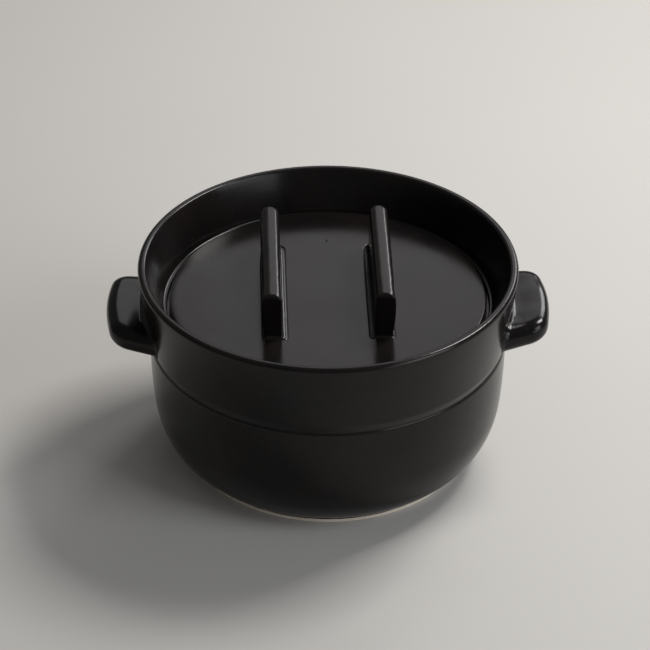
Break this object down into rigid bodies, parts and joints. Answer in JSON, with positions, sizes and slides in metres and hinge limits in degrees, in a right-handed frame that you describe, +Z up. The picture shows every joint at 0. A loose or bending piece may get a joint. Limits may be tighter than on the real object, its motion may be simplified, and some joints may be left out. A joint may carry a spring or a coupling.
{
  "type": "rice cooking pot",
  "caption": "Black-glazed stoneware rice pot with side ears and a flat lid, set deep below the rim, that lifts off by upright bar grips.",
  "frame": {"origin": "centre of the foot ring's underside, on the surface that the pot stands on", "axes": "+Z up, +X through the right ear, +Y to the back, along the lid's bars"},
  "size_m": [0.252, 0.215, 0.128],
  "materials": {
    "pot_glaze": "satin black glaze on flameproof stoneware, bare clay under the foot",
    "lid_glaze": "satin black glaze on flameproof stoneware"
  },
  "bodies": {
    "pot": {"vessel": "pot_glaze", "left_ear": "pot_glaze", "right_ear": "pot_glaze"},
    "lid": {"lid_plate": "lid_glaze", "left_lid_bar": "lid_glaze", "right_lid_bar": "lid_glaze"}
  },
  "joints": [
    {"name": "lid_lift", "type": "slide", "parent": "pot", "child": "lid", "axis": [0, 0, 1], "range_m": [0, 0.08]}
  ]
}
